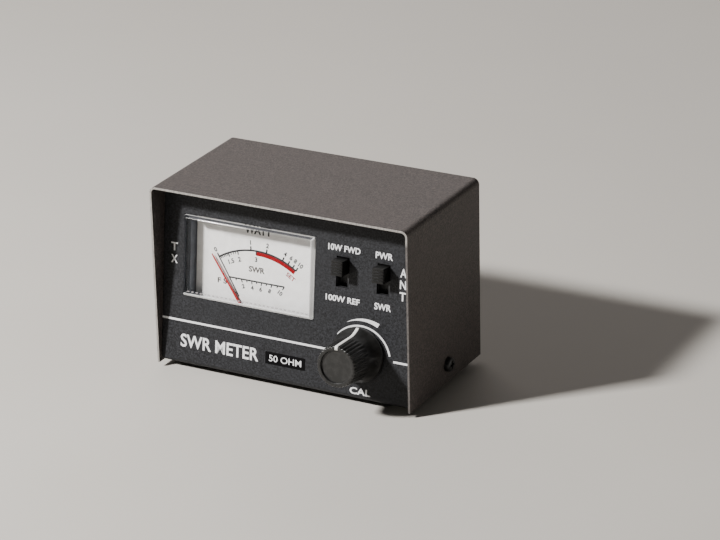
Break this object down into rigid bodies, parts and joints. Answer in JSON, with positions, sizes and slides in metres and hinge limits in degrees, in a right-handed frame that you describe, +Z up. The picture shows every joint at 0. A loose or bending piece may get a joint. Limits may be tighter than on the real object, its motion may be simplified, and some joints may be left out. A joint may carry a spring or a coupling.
{
  "type": "swr meter",
  "caption": "Desk-top SWR and power meter: steel case with hooded sloping panel, moving-coil meter, slide switches, calibration knob and rear coaxial sockets.",
  "frame": {"origin": "on the surface that the feet stand on, at the centre of the object's outline", "axes": "+X to the right seen from the front, +Y from the front panel to the rear panel, +Z up"},
  "size_m": [0.1142, 0.088, 0.075],
  "materials": {
    "panel_paint": "fine-textured charcoal stove enamel",
    "cover_paint": "fine-textured warm grey enamel",
    "black_screw": "black oxide, oiled",
    "rubber_foot": "matte black rubber",
    "clear_plastic": "clear polystyrene",
    "black_moulding": "satin black moulding",
    "dial_white": "satin white printed plate",
    "plated_steel": "bright zinc plate",
    "soft_iron": "grey, lightly plated",
    "magnet_alloy": "ground grey alloy",
    "brass_part": "turned brass",
    "spring_bronze": "fine bronze strip",
    "tinned_metal": "tin plate",
    "brown_laminate": "phenolic paper laminate",
    "cast_zinc": "die-cast, as cast",
    "copper_foil": "tinned copper foil",
    "diode_glass": "glass body",
    "resistor_body": "lacquered body with colour bands",
    "ceramic_disc": "lacquered ceramic disc",
    "wire_yellow": "vinyl insulation",
    "wire_green": "vinyl insulation",
    "wire_black": "vinyl insulation",
    "wire_white": "vinyl insulation",
    "wire_red": "vinyl insulation",
    "copper_winding": "varnished copper wire",
    "pointer_red": "red lacquer",
    "solder": "dull solder",
    "switch_black": "semi-gloss moulding",
    "knob_black": "semi-gloss moulding",
    "nickel_plate": "bright nickel plate",
    "white_insulator": "milky moulded insulator",
    "silvered_contact": "silver-plated brass"
  },
  "bodies": {
    "case": {"chassis": "panel_paint", "top_cover": "cover_paint", "side_screws": "black_screw", "rubber_feet": "rubber_foot", "meter_window": "clear_plastic", "meter_case": "black_moulding", "meter_dial": "dial_white", "dial_screws": "plated_steel", "meter_yoke": "soft_iron", "core_magnet": "magnet_alloy", "core_spacers": "brass_part", "meter_bridges": "brass_part", "jewel_screws": "brass_part", "hairspring": "spring_bronze", "meter_terminals": "brass_part", "clip_studs": "plated_steel", "meter_clips": "plated_steel", "clip_nuts": "plated_steel", "range_switch_body": "black_moulding", "range_switch_pins": "tinned_metal", "function_switch_body": "black_moulding", "function_switch_pins": "tinned_metal", "control_board": "brown_laminate", "control_board_spacers": "plated_steel", "control_board_screws": "plated_steel", "cal_pot_body": "cast_zinc", "cal_pot_terminals": "tinned_metal", "cal_pot_washer": "plated_steel", "cal_pot_nut": "plated_steel", "transmitter_socket_shell": "nickel_plate", "transmitter_socket_dielectric": "white_insulator", "transmitter_socket_contact": "silvered_contact", "transmitter_socket_screws": "plated_steel", "transmitter_socket_nuts": "plated_steel", "antenna_socket_shell": "nickel_plate", "antenna_socket_dielectric": "white_insulator", "antenna_socket_contact": "silvered_contact", "antenna_socket_screws": "plated_steel", "antenna_socket_nuts": "plated_steel", "coupler_board": "brown_laminate", "coupler_lines": "copper_foil", "detector_diodes": "diode_glass", "load_resistors": "resistor_body", "bypass_capacitors": "ceramic_disc", "coupler_spacers": "plated_steel", "coupler_screws": "black_screw", "forward_wire": "wire_yellow", "reflected_wire": "wire_green", "ground_wire": "wire_black", "calibration_wire": "wire_white", "meter_negative_wire": "wire_black", "meter_positive_wire": "wire_red"},
    "needle": {"moving_coil": "copper_winding", "meter_pointer": "pointer_red", "balance_weights": "solder"},
    "range_slider": {"range_switch_slider": "switch_black"},
    "function_slider": {"function_switch_slider": "switch_black"},
    "calibration_control": {"cal_knob": "knob_black", "cal_pot_shaft": "plated_steel", "cal_pot_wiper": "brown_laminate"}
  },
  "joints": [
    {"name": "needle_swing", "type": "hinge", "parent": "case", "child": "needle", "pos_m": [-0.0165, -0.01948, 0.01922], "axis": [0, 0.9929, -0.1191], "range_deg": [0, 70], "stiffness_Nm_per_rad": 0.00005, "springref_deg": -8.59},
    {"name": "range_switch_slide", "type": "slide", "parent": "case", "child": "range_slider", "axis": [0, -0.1191, -0.9929], "range_m": [0, 0.0052]},
    {"name": "function_switch_slide", "type": "slide", "parent": "case", "child": "function_slider", "axis": [0, -0.1191, -0.9929], "range_m": [0, 0.0052]},
    {"name": "calibration_turn", "type": "hinge", "parent": "case", "child": "calibration_control", "pos_m": [0.0318, -0.03481, 0.02156], "axis": [0, 0.9929, -0.1191], "range_deg": [-150, 150]}
  ]
}
